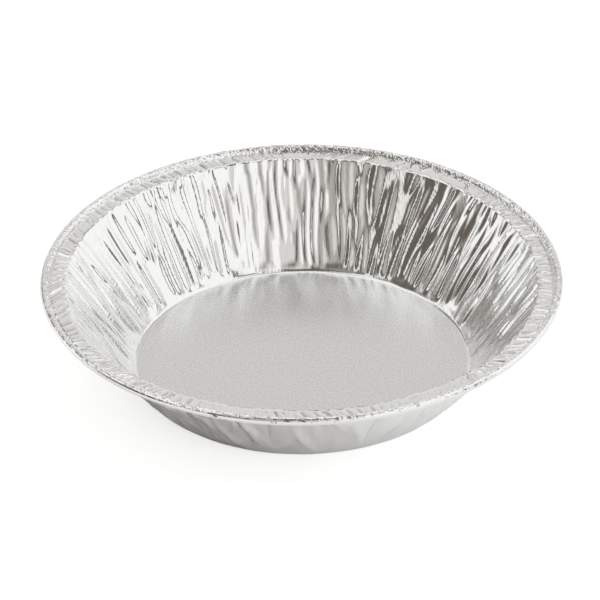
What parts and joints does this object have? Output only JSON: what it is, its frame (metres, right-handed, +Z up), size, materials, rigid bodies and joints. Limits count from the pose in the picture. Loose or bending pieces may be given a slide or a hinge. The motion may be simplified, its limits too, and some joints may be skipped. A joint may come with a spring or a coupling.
{
  "type": "foil pie tin",
  "caption": "Shallow round foil pie tin with a flat floor, a sloping wall gathered into fine pleats, a flat ledge and a rolled edge.",
  "frame": {"origin": "centre of the floor's underside, where the tin stands on the table", "axes": "+Z is up, along the tin's axis. The tin is round, so X and Y are any two directions across the mouth."},
  "size_m": [0.127, 0.127, 0.025],
  "materials": {
    "foil": "Thin rolled aluminium foil: bright on the creased wall, satin on the flat floor."
  },
  "bodies": {
    "root": {"foil_tin": "foil"}
  },
  "joints": []
}
